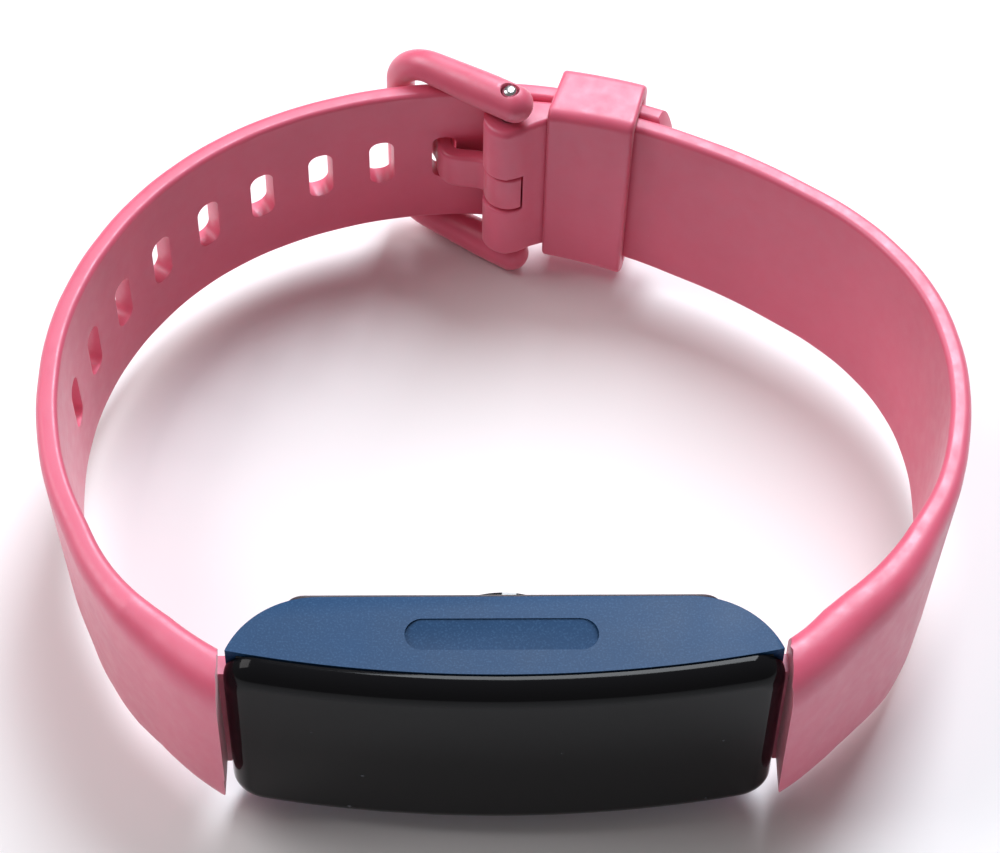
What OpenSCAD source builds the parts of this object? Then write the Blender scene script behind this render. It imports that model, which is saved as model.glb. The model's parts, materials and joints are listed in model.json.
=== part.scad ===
// Fitness tracker band: a slim wrist tracker on a two-part silicone strap with a pin buckle.
// Axes: +Z runs along the wrist, the display faces -Y, and X runs along the display.
// The band stands on its edge. The origin is on the floor, under the middle of the band.
// Inside the modules z = 0 is the band's middle plane, and stand() lifts it onto the floor.

/* [Tracker] */
// Length of the tracker, from strap to strap
tracker_len = 37; // [36.8:0.1:37.4]
// Width of the tracker, along the wrist
tracker_w = 16.6; // [16.4:0.1:16.8]
// How far the lens bulges forward of its seam
lens_bulge = 1.6; // [1.4:0.1:1.8]
// Radius of the lens and its seam, seen from the edge
lens_r = 88; // [86:1:92]
// Length of the finger scoop on each edge
scoop_len = 12.6; // [11:0.2:13]
// Width of the finger scoop
scoop_w = 2.4; // [2:0.1:2.6]

/* [Strap] */
// Width of the thin part of the strap
strap_w = 14; // [13.6:0.1:14.2]
// Thickness of the thin part of the strap
strap_t = 1.5; // [1.4:0.05:1.55]
// Distance between two adjusting holes
hole_pitch = 4.8; // [4.6:0.1:4.9]
// Length of an adjusting hole, across the strap
hole_len = 4.5; // [4.2:0.1:4.8]
// Width of an adjusting hole, along the strap
hole_w = 1.9; // [1.8:0.05:2.0]
// Holes between the tang and the tracker
holes_free = 8; // [5:1:8]
// Holes between the tang and the strap's tip
holes_covered = 2; // [0:1:2]

/* [Buckle] */
// Height of each side arm, along the wrist
arm_h = 2.7; // [2.5:0.1:2.8]
// Width of each side arm
arm_w = 2.5; // [2.3:0.1:2.6]
// Radius of the steel buckle pin
pin_r = 0.55; // [0.5:0.05:0.6]
// Width of the tang, along the wrist
tang_w = 3.3; // [3:0.1:3.5]

/* [Keeper loop] */
// Length of the keeper loop along the strap
keeper_len = 7; // [6:0.2:7.2]
// Wall thickness of the keeper loop
keeper_wall = 1.1; // [0.9:0.1:1.2]

/* [Hidden] */
$fn = 64;

// Colours
pink = [0.86, 0.44, 0.56];
navy = [0.13, 0.20, 0.32];
black = [0.03, 0.03, 0.04];
steel = [0.75, 0.76, 0.78];
board_green = [0.05, 0.25, 0.16];
gold = [0.85, 0.65, 0.25];

// Small gaps and overlaps
gap = 0.1;
run_gap = 0.05;
bite = 0.2;
inset = 0.02;

// Tracker: y of the seam at the middle, of the edge faces' back, and of the rear cover
half_len = tracker_len / 2;
half_w = tracker_w / 2;
seam_y = -1.8;
lens_c = [0, seam_y + lens_r];
seal_t = 0.15;
edge_back_y = 4.3;
end_corner_r = 7;
cavity_x = 13.2;
seat_x = 14.6;
cavity_z = 6.9;
notch_x = 13.65;
notch_z = 6.4;
notch_front_y = -0.12;
notch_back_y = 6;
scoop_y = 1.4;
scoop_depth = 0.55;
scoop_r = (pow(scoop_w / 2, 2) + pow(scoop_depth, 2)) / (2 * scoop_depth);
cover_top_y = 6.5;
window_top_y = 8.7;
window_r = 7;

// Strap path: circles of the wrist-side face, as [centre, radius]
back_c = [-2.2, 17.7];
tongue_r = 32;
inner_r = tongue_r - gap - strap_t;
left_a = 115;
left_r = 25.25;
left_c = back_c + (tongue_r - left_r) * [cos(left_a), sin(left_a)];
keep_a = 58;
side_r = 85;
side_c = back_c + (inner_r - side_r) * [cos(keep_a), sin(keep_a)];
turn_a = 49.7;
turn_r = 18;
turn_c = side_c + (side_r - turn_r) * [cos(turn_a), sin(turn_a)];
right_r = 24.6;
right_c = turn_c + [turn_r - right_r, 0];
half_strap = strap_w / 2;
edge_r = 0.45;

// Strap ends: where the thickening starts, and the outer face's radius
shoulder_a = 10;
left_out_r = 33.2;
right_out_r = 30.7;
shoulder_edge_r = 1.4;
shoulder_half_w = 7.9;
shoulder_start_y = 17;
end_plane_x = half_len + 0.3;
left_out_c = left_c + (left_r + strap_t - left_out_r) * [-cos(shoulder_a), -sin(shoulder_a)];
right_out_c = right_c + (right_r + strap_t - right_out_r) * [cos(shoulder_a), -sin(shoulder_a)];

// Spring bars, one at each end of the tracker
bar_x = half_len - 3.3;
bar_y = 1.38;
bar_r = 0.75;
bar_bore_r = 0.5;
bar_half = 5.8;
bar_tip_r = 0.4;
bar_tip_z = 7.2;
tab_r = 1.4;
tab_half = 6.1;
release_travel = 1.2;
release_z = 4;
release_reach = 1.9;
spring_wire_r = 0.08;
spring_turns = 9;
spring_low_z = -3.4;
spring_high_z = 2.4;

// Tongue strap
tang_a = 93;
tip_a = 62.5;
tip_round_r = 8;

// Buckle pivot, inside the rounded end of the buckle strap
hub_r = 1.93;
pivot_r = tongue_r - gap - hub_r + 0.03;
pivot_a = 83.9;
pivot = back_c + pivot_r * [cos(pivot_a), sin(pivot_a)];
neck_a = 79.8;
neck_in_r = 28.9;
frame_half_in = half_strap + 0.3;
frame_half_out = frame_half_in + arm_h;
bar_a = 98.6;
far_bar_r = 1.1;
far_bar = back_c + (tongue_r + strap_t + 0.15 + far_bar_r) * [cos(bar_a), sin(bar_a)];
arm_end_r = 1.5;
pin_half = frame_half_out - 0.45;
tang_hub_r = 1.85;
tang_hub_x = 0.95;
tang_t = 1.2;

// Keeper loop
keeper_gap = 0.25;
keeper_mid_a = 71.2;
keeper_in_r = inner_r - keeper_gap - keeper_wall;
keeper_out_r = tongue_r + strap_t + keeper_gap + keeper_wall;
keeper_half = half_strap + keeper_gap + keeper_wall;
keeper_span = keeper_len / keeper_in_r * 180 / PI;

// Standing height and the band's middle in the plan
rest_h = frame_half_out;
front_y = seam_y - lens_bulge;
back_y = far_bar[1] + 1.8;
mid_x = (left_c[0] - left_r + inset + turn_c[0] + turn_r) / 2;
mid_y = (front_y + back_y) / 2;

module stand() translate([-mid_x, -mid_y, rest_h]) children();

// A point at an angle on a circle
function on_circle(c, r, a) = c + r * [cos(a), sin(a)];

// A rectangle with rounded corners, from x0 to x1 and -hz to hz
module rounded_band(x0, x1, hz, r) {
    translate([x0 + r, -hz]) square([x1 - x0 - 2 * r, 2 * hz]);
    translate([x0, -hz + r]) square([x1 - x0, 2 * (hz - r)]);
    for (x = [x0 + r, x1 - r], z = [-hz + r, hz - r])
        translate([x, z]) circle(r, $fn = 32);
}

// Degrees that an inset strip laps into its neighbour on a circle of radius r
function lap(r) = 0.3 / r * 180 / PI;

// A strip whose faces sit a hair inside its neighbours, so that its ends can run into them
module inner_strip(c, r, a0, a1, extra0 = 1, extra1 = 1)
    arc_strip(c, r + inset, r + strap_t - inset, a0 - extra0 * lap(r), a1 + extra1 * lap(r),
        half_strap - inset, edge_r - inset);

// A strip of strap: part of a turned ring with rounded edges
module arc_strip(c, r0, r1, a0, a1, hz, edge = edge_r)
    translate([c[0], c[1], 0])
        rotate([0, 0, a0])
            rotate_extrude(angle = a1 - a0, $fn = 180)
                rounded_band(r0, r1, hz, edge);

// A slot with round ends, cut through the strap at an angle
module radial_slot(c, r, a, len, w)
    translate([c[0], c[1], 0])
        rotate([0, 0, a])
            translate([r - 3, 0, 0])
                rotate([0, 90, 0])
                    linear_extrude(height = 6) {
                        square([len - w, w], center = true);
                        for (s = [-1, 1])
                            translate([s * (len - w) / 2, 0]) circle(w / 2, $fn = 32);
                    }

// A block between two x, two y and a half height in z
module block(x0, x1, y0, y1, hz)
    translate([x0, y0, -hz]) cube([x1 - x0, y1 - y0, 2 * hz]);

// ---- Tracker case ----

// Outline of the tracker behind its seam, seen from the edge
module case_outline(front_r) {
    intersection() {
        translate(lens_c) circle(front_r, $fn = 256);
        union() {
            translate([-half_len, -6]) square([tracker_len, 3.3]);
            translate([-half_len + end_corner_r, -6])
                square([tracker_len - 2 * end_corner_r, edge_back_y + 6]);
            for (s = [-1, 1])
                translate([s * (half_len - end_corner_r), edge_back_y - end_corner_r])
                    circle(end_corner_r);
        }
    }
}

// Solid shape of the case: flat edge faces with rounded edges at the back
module case_solid(front_r)
    intersection() {
        linear_extrude(height = tracker_w, center = true) case_outline(front_r);
        translate([-half_len - 1, 0, 0])
            rotate([90, 0, 90])
                linear_extrude(height = tracker_len + 2)
                    rounded_band(-8, edge_back_y, half_w, 0.9);
    }

// A scoop with round ends for a fingertip, sunk into an edge face
module scoop(s)
    translate([-0.2, scoop_y, s * (half_w + scoop_r - scoop_depth)]) {
        rotate([0, 90, 0])
            cylinder(r = scoop_r, h = scoop_len - scoop_w, center = true);
        for (e = [-1, 1])
            translate([e * (scoop_len - scoop_w) / 2, 0, 0]) sphere(scoop_r);
    }

module housing()
    color(navy)
        difference() {
            case_solid(lens_r - seal_t);
            block(-cavity_x, cavity_x, -6, 8, cavity_z);
            for (s = [-1, 1]) {
                scoop(s);
                translate([s * (notch_x + 3), (notch_front_y + notch_back_y) / 2, 0])
                    cube([6, notch_back_y - notch_front_y, 2 * notch_z], center = true);
                translate([s * bar_x, bar_y, 0])
                    cylinder(r = bar_tip_r + run_gap, h = 2 * (bar_tip_z + gap), center = true);
            }
            // seat of the rear cover
            translate([0, edge_back_y, 0]) cube([2 * seat_x, 2.2, 14.6], center = true);
        }

// Outer face of the lens: a turned band with rounded long edges
module lens()
    color(black)
        intersection() {
            difference() {
                translate([lens_c[0], lens_c[1], 0])
                    rotate([0, 0, 258])
                        rotate_extrude(angle = 24, $fn = 256)
                            rounded_band(lens_r - 2.2, lens_r + lens_bulge, half_w - 0.05, 1.5);
                translate([lens_c[0], lens_c[1], 0])
                    cylinder(r = lens_r, h = 20, center = true, $fn = 256);
            }
            linear_extrude(height = tracker_w, center = true)
                union() {
                    translate([-half_len + 0.15, -2.2]) square([tracker_len - 0.3, 3]);
                    translate([-half_len + 1.75, -5]) square([tracker_len - 3.5, 4]);
                    for (s = [-1, 1])
                        translate([s * (half_len - 1.75), -2.2]) circle(1.6);
                }
        }

module lens_seal()
    color(black)
        translate([lens_c[0], lens_c[1], 0])
            difference() {
                rotate([0, 0, 258.6])
                    rotate_extrude(angle = 22.8, $fn = 256)
                        translate([lens_r - seal_t + 0.02, -7.9]) square([seal_t - 0.04, 15.8]);
                translate([0, -lens_r, 0]) cube([27.6, 6, 12.4], center = true);
            }

module display_panel()
    color([0.02, 0.02, 0.03])
        union() {
            block(-11, 11, -0.95, -0.15, 5.2);
            block(11 - bite, 12.8, -0.75, -0.45, 2.4);
        }

module inner_frame()
    color([0.1, 0.1, 0.11])
        difference() {
            block(-12.9, 12.9, 0, 0.7, 6.5);
            block(-6, 2, -1, 2, 3.4);
            block(5, 12, -1, 2, 3.8);
            block(-12, -8.5, -1, 2, 3.4);
        }

module main_board()
    color(board_green)
        difference() {
            block(-12.8, 12.8, 0.85, 1.45, 6.3);
            for (s = [-1, 1])
                translate([s * 11.8, 0, 5.2]) rotate([-90, 0, 0]) cylinder(r = 0.5, h = 3, $fn = 24);
        }

// Processor, radio, motion sensor, memory and power chips on the board's rear face
module board_chips()
    color([0.08, 0.08, 0.09]) {
        translate([8.2, 1.45, 2.6]) cube([3.4, 0.55, 3.4]);
        translate([6.0, 1.45, -1.2]) cube([2.2, 0.5, 2.2]);
        translate([9.4, 1.45, -0.9]) cube([2.4, 0.5, 1.8]);
        translate([11.9, 1.45, -2.6]) cube([0.8, 0.45, 2.4]);
        for (i = [0:3])
            translate([6.2 + 1.4 * i, 1.45, 1.5]) cube([0.6, 0.3, 0.4]);
    }

module antenna_strip()
    color(gold)
        union() {
            translate([-12.6, 0.73, 5.4]) cube([14, 0.09, 0.8]);
            translate([-12.6, 0.73, 3.4]) cube([0.8, 0.09, 2.3]);
        }

module battery()
    color([0.7, 0.71, 0.72])
        union() {
            block(-12.9, 4.6, 1.75, 4.05, 5.9);
            block(4.5, 5.6, 2.2, 3.4, 4.2);
        }

motor_pos = [6.6, 3.05, -4.5];
motor_r = 1.45;

module motor_can()
    color(steel)
        translate(motor_pos)
            rotate([0, 90, 0])
                difference() {
                    cylinder(r = motor_r, h = 3.6);
                    translate([0, 0, 0.6]) cylinder(r = 0.35 + run_gap, h = 5, $fn = 32);
                }

// Shaft with its off-centre weight
module motor_rotor()
    color([0.5, 0.5, 0.52])
        translate(motor_pos)
            rotate([0, 90, 0])
                union() {
                    translate([0, 0, 0.9]) cylinder(r = 0.35, h = 5, $fn = 32);
                    translate([0, 0, 3.9])
                        intersection() {
                            cylinder(r = 1.3, h = 2);
                            translate([-0.45, -2, 0]) cube([4, 4, 2]);
                        }
                }

module touch_pad(s)
    color(gold)
        translate([-0.2, scoop_y, s * (cavity_z - 0.12)]) cube([11, 1.5, 0.16], center = true);

// Rear cover: a shallow dome with a hole for the sensor window and two for the contacts
module back_cover()
    color(black)
        difference() {
            union() {
                block(-14.5, 14.5, edge_back_y - 0.85, edge_back_y + 0.5, 7.2);
                intersection() {
                    translate([0, -12, 0])
                        rotate([0, 90, 0])
                            cylinder(r = cover_top_y + 12, h = 29, center = true, $fn = 128);
                    block(-14.5, 14.5, edge_back_y, 10, 6.6);
                }
            }
            block(-13.8, 13.8, 3, edge_back_y + 0.25, 6.3);
            block(-6.8, 6.8, 3, 4.8, 5);
            translate([0, 2, 0]) rotate([-90, 0, 0]) cylinder(r = 4.4, h = 8);
            for (s = [-1, 1])
                translate([10.6, 2, s * 2.6]) rotate([-90, 0, 0]) cylinder(r = 1.05, h = 8, $fn = 32);
        }

module back_seal()
    color([0.16, 0.16, 0.17])
        difference() {
            block(-14.3, 14.3, 3.22, 3.4, 7.15);
            block(-13.6, 13.6, 3, 4, 6.95);
        }

// Domed clear window over the pulse sensor
module sensor_window()
    color([0.1, 0.12, 0.12])
        intersection() {
            translate([0, 5.9, 0]) rotate([-90, 0, 0]) cylinder(r = 4.35, h = 4);
            translate([0, window_top_y - window_r, 0]) sphere(window_r, $fn = 128);
        }

module sensor_board()
    color(board_green)
        block(-6.4, 6.4, 4.2, 4.6, 4.8);

module sensor_leds()
    color([0.5, 0.95, 0.6])
        for (s = [-1, 1])
            translate([s * 2.6 - 0.7, 4.6, -0.7]) cube([1.4, 0.7, 1.4]);

module photodiode()
    color([0.12, 0.12, 0.2])
        block(-0.9, 0.9, 4.6, 5.2, 1.6);

module light_barrier()
    color(black)
        difference() {
            translate([0, 4.6, 0]) rotate([-90, 0, 0]) cylinder(r = 4.1, h = 1.25);
            for (s = [-1, 1])
                block(s * 2.6 - 0.9, s * 2.6 + 0.9, 4, 7, 0.9);
            block(-1.1, 1.1, 4, 7, 1.8);
        }

module charge_contacts()
    color(gold)
        for (s = [-1, 1])
            translate([10.6, 0, s * 2.6])
                rotate([-90, 0, 0]) {
                    translate([0, 0, 4.3]) cylinder(r = 1, h = 1.95, $fn = 32);
                }

// ---- Straps ----

// Thickened end of a strap: inner and outer circles cut off at the tracker, rounded outer edges
module strap_shoulder(s, c_in, r_in, c_out, r_out) {
    ray = [s * cos(shoulder_a), -sin(shoulder_a)];
    intersection() {
        linear_extrude(height = 2 * shoulder_half_w, center = true)
            intersection() {
                difference() {
                    translate(c_out) circle(r_out, $fn = 180);
                    translate(c_in) circle(r_in, $fn = 180);
                }
                polygon([[s * end_plane_x, -9], [s * 48, -9], c_in + 42 * ray, [s * end_plane_x, c_in[1] - 2.5]]);
            }
        translate([c_out[0], c_out[1], 0])
            rotate_extrude($fn = 180)
                translate([6, 0]) rounded_half(r_out - 6, shoulder_half_w, shoulder_edge_r);
        translate([s * 30 - 20, 0, 0])
            rotate([90, 0, 90])
                linear_extrude(height = 40)
                    polygon([[-9, -shoulder_half_w], [4, -shoulder_half_w], [shoulder_start_y, -half_strap],
                        [30, -half_strap], [30, half_strap], [shoulder_start_y, half_strap],
                        [4, shoulder_half_w], [-9, shoulder_half_w]]);
    }
}

// A rectangle from 0 to w with its two far corners rounded
module rounded_half(w, hz, r) {
    translate([0, -hz]) square([w - r, 2 * hz]);
    translate([0, -hz + r]) square([w, 2 * (hz - r)]);
    for (z = [-hz + r, hz - r])
        translate([w - r, z]) circle(r, $fn = 32);
}

// Tab that enters the tracker's end and holds the spring bar, with a slot for the release knob
module strap_tab(s)
    difference() {
        union() {
            translate([s * bar_x, bar_y, 0]) cylinder(r = tab_r, h = 2 * tab_half, center = true);
            translate([s * (bar_x + 1.95), bar_y + 0.05, 0])
                cube([3.9, 2 * tab_r - 0.6, 2 * tab_half], center = true);
        }
        tab_cuts(s);
    }

// Bore of the spring bar and the release knob's slot
module tab_cuts(s) {
    translate([s * bar_x, bar_y, 0])
        cylinder(r = bar_r + run_gap, h = 4 * tab_half, center = true, $fn = 48);
    translate([s * bar_x, bar_y + 2, release_z - release_travel / 2])
        cube([1.1, 4, release_travel + 1.3], center = true);
}

// Long half of the strap: adjusting holes and a round tip
module tongue_strap()
    color(pink)
        difference() {
            union() {
                strap_shoulder(-1, left_c, left_r, left_out_c, left_out_r);
                strap_tab(-1);
                inner_strip(left_c, left_r, left_a, 180 + shoulder_a, 1, 3);
                arc_strip(back_c, tongue_r, tongue_r + strap_t, tip_a, left_a, half_strap);
            }
            // round the strap's tip
            translate([back_c[0], back_c[1], 0])
                rotate([0, 0, tip_a])
                    translate([tongue_r - 2, tip_round_r + 0.1, 0])
                        difference() {
                            translate([0, -tip_round_r - 1, -9]) cube([6, tip_round_r - 2.5, 18]);
                            translate([-1, 0, 0]) rotate([0, 90, 0]) cylinder(r = tip_round_r, h = 9);
                        }
            for (k = [-holes_covered:holes_free])
                adjusting_hole(k);
        }

// Hole number k, counted from the one that holds the tang towards the tracker
module adjusting_hole(k) {
    back_run = (left_a - tang_a) * PI / 180 * tongue_r;
    s = k * hole_pitch;
    if (s < back_run)
        radial_slot(back_c, tongue_r, tang_a + s / tongue_r * 180 / PI, hole_len, hole_w);
    else
        radial_slot(left_c, left_r, left_a + (s - back_run) / left_r * 180 / PI, hole_len, hole_w);
}

// Short half of the strap: its end wraps the buckle pin and is slotted for the tang
module buckle_strap()
    color(pink)
        difference() {
            union() {
                strap_shoulder(1, right_c, right_r, right_out_c, right_out_r);
                strap_tab(1);
                inner_strip(right_c, right_r, -shoulder_a, 0, 3, 1);
                arc_strip(turn_c, turn_r, turn_r + strap_t, 0, turn_a, half_strap);
                inner_strip(side_c, side_r, turn_a, keep_a);
                arc_strip(back_c, inner_r, inner_r + strap_t, keep_a, pivot_a, half_strap);
                arc_strip(back_c, neck_in_r, inner_r + 1, neck_a, pivot_a, half_strap - inset);
                translate([pivot[0], pivot[1], 0])
                    cylinder(r = hub_r, h = 2 * half_strap - 0.2, center = true);
            }
            translate([pivot[0], pivot[1], 0]) {
                cylinder(r = pin_r + run_gap, h = 30, center = true, $fn = 48);
                cube([2 * tang_hub_x + 0.3, 6, tang_w + 0.5], center = true);
                translate([-3, 0, 0]) cube([6, 6, tang_w + 0.5], center = true);
            }
        }

module keeper_loop()
    color(pink)
        translate([back_c[0], back_c[1], 0])
            rotate([0, 0, keeper_mid_a - keeper_span / 2])
                rotate_extrude(angle = keeper_span, $fn = 180)
                    difference() {
                        rounded_band(keeper_in_r, keeper_out_r, keeper_half, 1);
                        rounded_band(keeper_in_r + keeper_wall, keeper_out_r - keeper_wall,
                            keeper_half - keeper_wall, 0.3);
                    }

// ---- Buckle ----

// Plan of one side arm: from the pivot to the far bar, bent level at the end
module arm_plan() {
    knee = far_bar + [1.6, -0.35];
    hull() {
        translate(pivot) circle(arm_end_r, $fn = 40);
        translate(knee) circle(arm_w / 2, $fn = 40);
    }
    hull() {
        translate(knee) circle(arm_w / 2, $fn = 40);
        translate(far_bar) circle(far_bar_r + 0.05, $fn = 40);
    }
}

module buckle_frame()
    color(pink)
        difference() {
            union() {
                for (s = [-1, 1])
                    translate([0, 0, s * (frame_half_in + arm_h / 2)])
                        linear_extrude(height = arm_h, center = true) arm_plan();
                translate([far_bar[0], far_bar[1], 0])
                    cylinder(r = far_bar_r, h = 2 * frame_half_out - 0.4, center = true);
            }
            translate([pivot[0], pivot[1], 0])
                cylinder(r = pin_r, h = 30, center = true, $fn = 48);
            for (s = [-1, 1])
                translate([pivot[0], pivot[1], s * (pin_half + 1)])
                    cylinder(r = pin_r + 0.2, h = 2, center = true, $fn = 48);
            // notch for the tang's tip
            translate([far_bar[0], far_bar[1] + 1.1, 0]) cube([4, 2, tang_w + 0.5], center = true);
        }

module buckle_pin()
    color(steel)
        translate([pivot[0], pivot[1], 0])
            cylinder(r = pin_r, h = 2 * pin_half, center = true, $fn = 48);

// Centre line of the tang: under the strap, up through a hole, then onto the far bar
tang_hole = on_circle(back_c, tongue_r + strap_t / 2, tang_a);
tang_line = [pivot + [-0.6, 0.5], pivot + [-2.6, 1.1], tang_hole + [0.15, -1.2], tang_hole + [-0.2, 0.9],
    far_bar + [2.0, 1.2], far_bar + [-0.4, 1.15]];

module buckle_tang()
    color(pink)
        translate([0, 0, -tang_w / 2])
            difference() {
                linear_extrude(height = tang_w) {
                    intersection() {
                        translate(pivot) circle(tang_hub_r, $fn = 48);
                        translate(pivot + [tang_hub_x - 4, -2]) square(4);
                    }
                    for (i = [0:len(tang_line) - 2])
                        hull() {
                            translate(tang_line[i]) circle(tang_t / 2, $fn = 24);
                            translate(tang_line[i + 1]) circle(tang_t / 2, $fn = 24);
                        }
                }
                translate([pivot[0], pivot[1], -1])
                    cylinder(r = pin_r + run_gap, h = tang_w + 2, $fn = 48);
            }

// ---- Spring bars ----

module bar_tube(s)
    color(steel)
        translate([s * bar_x, bar_y, 0])
            difference() {
                cylinder(r = bar_r, h = 2 * bar_half, center = true, $fn = 48);
                cylinder(r = bar_bore_r, h = 4 * bar_half, center = true, $fn = 48);
                translate([0, 1, release_z - release_travel / 2])
                    cube([0.9, 2, release_travel + 1], center = true);
            }

// Fixed tip pressed into the tube's lower end
module bar_tip(s)
    color(steel)
        translate([s * bar_x, bar_y, 0]) {
            translate([0, 0, -bar_tip_z]) cylinder(r = bar_tip_r, h = 3, $fn = 32);
            translate([0, 0, -bar_half]) cylinder(r = bar_bore_r, h = 2.4, $fn = 32);
        }

// Coil spring between the fixed tip and the release pin
module bar_spring(s) {
    steps = 10;
    sides = 5;
    rings = spring_turns * steps;
    coil_r = bar_bore_r - spring_wire_r - 0.08;
    pitch = (spring_high_z - spring_low_z - 2 * spring_wire_r) / spring_turns;
    points = [for (i = [0:rings], j = [0:sides - 1])
        let (a = i * 360 / steps, b = j * 360 / sides, r = coil_r + spring_wire_r * cos(b))
        [r * cos(a), r * sin(a), spring_low_z + spring_wire_r + pitch * i / steps + spring_wire_r * sin(b)]];
    sides_faces = [for (i = [0:rings - 1], j = [0:sides - 1])
        [i * sides + j, i * sides + (j + 1) % sides, (i + 1) * sides + (j + 1) % sides, (i + 1) * sides + j]];
    end_faces = [[for (j = [sides - 1:-1:0]) j], [for (j = [0:sides - 1]) rings * sides + j]];
    color(steel)
        translate([s * bar_x, bar_y, 0])
            polyhedron(points, concat(sides_faces, end_faces));
}

// Sliding tip with the release knob that a fingernail pulls
module release_pin(s)
    color(steel)
        translate([s * bar_x, bar_y, 0])
            union() {
                translate([0, 0, spring_high_z]) cylinder(r = bar_tip_r, h = bar_tip_z - spring_high_z, $fn = 32);
                translate([0, 0, release_z]) rotate([-90, 0, 0]) cylinder(r = 0.35, h = release_reach, $fn = 32);
            }

stand() housing();
stand() lens();
stand() lens_seal();
stand() display_panel();
stand() inner_frame();
stand() main_board();
stand() board_chips();
stand() antenna_strip();
stand() battery();
stand() motor_can();
stand() motor_rotor();
stand() touch_pad(1);  // touch_pad_upper
stand() touch_pad(-1);  // touch_pad_lower
stand() back_cover();
stand() back_seal();
stand() sensor_window();
stand() sensor_board();
stand() sensor_leds();
stand() photodiode();
stand() light_barrier();
stand() charge_contacts();
stand() tongue_strap();
stand() buckle_strap();
stand() keeper_loop();
stand() buckle_frame();
stand() buckle_pin();
stand() buckle_tang();
stand() bar_tube(-1);  // left_bar_tube
stand() bar_tip(-1);  // left_bar_tip
stand() bar_spring(-1);  // left_bar_spring
stand() release_pin(-1);  // left_release_pin
stand() bar_tube(1);  // right_bar_tube
stand() bar_tip(1);  // right_bar_tip
stand() bar_spring(1);  // right_bar_spring
stand() release_pin(1);  // right_release_pin
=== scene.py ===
import json
import math

import bmesh
import bpy
from mathutils import Matrix, Vector


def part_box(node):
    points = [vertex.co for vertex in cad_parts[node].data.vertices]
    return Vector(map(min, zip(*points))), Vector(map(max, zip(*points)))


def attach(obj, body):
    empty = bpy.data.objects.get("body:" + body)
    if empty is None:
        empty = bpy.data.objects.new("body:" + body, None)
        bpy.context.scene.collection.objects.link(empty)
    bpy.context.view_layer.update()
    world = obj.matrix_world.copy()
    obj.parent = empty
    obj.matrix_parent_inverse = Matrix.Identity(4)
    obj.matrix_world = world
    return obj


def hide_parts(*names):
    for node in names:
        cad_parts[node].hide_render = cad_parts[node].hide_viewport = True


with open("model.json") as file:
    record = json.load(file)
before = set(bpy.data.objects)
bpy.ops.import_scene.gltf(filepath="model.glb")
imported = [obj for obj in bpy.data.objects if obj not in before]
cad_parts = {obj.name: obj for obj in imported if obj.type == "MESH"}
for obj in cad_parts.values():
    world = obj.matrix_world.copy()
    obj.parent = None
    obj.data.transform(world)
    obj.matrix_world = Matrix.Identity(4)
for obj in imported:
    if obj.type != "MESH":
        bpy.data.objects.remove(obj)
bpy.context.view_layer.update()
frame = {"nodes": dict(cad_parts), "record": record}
mm = 0.001
sameSpot = 1e-7  # metres; nearer than this counts as the same place

# pieces are shaped in plan millimetres: x along the display, y away from it, z = 0 mid-width
tracker = {"length": 37.0, "width": 16.6, "backY": 4.3, "seamY": -1.8, "bulge": 1.6,
           "lensRadius": 88.0}
caseLow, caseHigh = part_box("housing")
planZero = Vector(((caseLow.x + caseHigh.x) / 2, caseHigh.y - tracker["backY"] * mm,
                   (caseLow.z + caseHigh.z) / 2))

# The strap's wrist-side path: circle centres and radii in the plan
loop = {"backCentre": (-2.2, 17.7), "tongueRadius": 32.0, "innerRadius": 30.4, "thick": 1.5,
        "halfWidth": 7.0, "leftAngle": 115.0, "leftRadius": 25.25, "keeperAngle": 58.0,
        "sideRadius": 85.0, "turnAngle": 49.7, "turnRadius": 18.0, "rightRadius": 24.6,
        "endAngle": -66.9, "pivotAngle": 83.9, "pivotIn": 0.07, "hubRadius": 1.93,
        "tangAngle": 93.0}


def onCircle(centre, radius, angle):
    a = math.radians(angle)
    return (centre[0] + radius * math.cos(a), centre[1] + radius * math.sin(a))


leftCentre = onCircle(loop["backCentre"], loop["tongueRadius"] - loop["leftRadius"],
                      loop["leftAngle"])
sideCentre = onCircle(loop["backCentre"], loop["innerRadius"] - loop["sideRadius"],
                      loop["keeperAngle"])
turnCentre = onCircle(sideCentre, loop["sideRadius"] - loop["turnRadius"], loop["turnAngle"])
rightCentre = (turnCentre[0] + loop["turnRadius"] - loop["rightRadius"], turnCentre[1])
pivot = onCircle(loop["backCentre"], loop["tongueRadius"] - loop["pivotIn"] - loop["hubRadius"],
                 loop["pivotAngle"])


def deselectAll():
    if bpy.context.mode != "OBJECT":
        bpy.ops.object.mode_set(mode="OBJECT")
    bpy.ops.object.select_all(action="DESELECT")


def makeActive(piece):
    deselectAll()
    bpy.context.view_layer.objects.active = piece
    piece.select_set(True)


def editing(piece):
    makeActive(piece)
    bpy.ops.object.mode_set(mode="EDIT")


def newPiece(name):
    mesh = bpy.data.meshes.new(name)
    piece = bpy.data.objects.new(name, mesh)
    bpy.context.scene.collection.objects.link(piece)
    return piece


# selects only what passes the test; kind is VERT, EDGE or FACE
def pick(kind, test):
    bpy.ops.mesh.select_mode(type=kind)
    bpy.ops.mesh.select_all(action="DESELECT")
    mesh = bpy.context.edit_object.data
    work = bmesh.from_edit_mesh(mesh)
    parts = {"VERT": work.verts, "EDGE": work.edges, "FACE": work.faces}[kind]
    found = [e for e in parts if test(e)]
    for e in found:
        e.select_set(True)
    bmesh.update_edit_mesh(mesh)
    return len(found) > 0


def middle(edge):
    return (edge.verts[0].co + edge.verts[1].co) / 2


def runs(edge, axis, least=0.0):
    step = edge.verts[1].co - edge.verts[0].co
    return abs(step[axis]) > 0.999 * step.length and step.length > least


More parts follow.
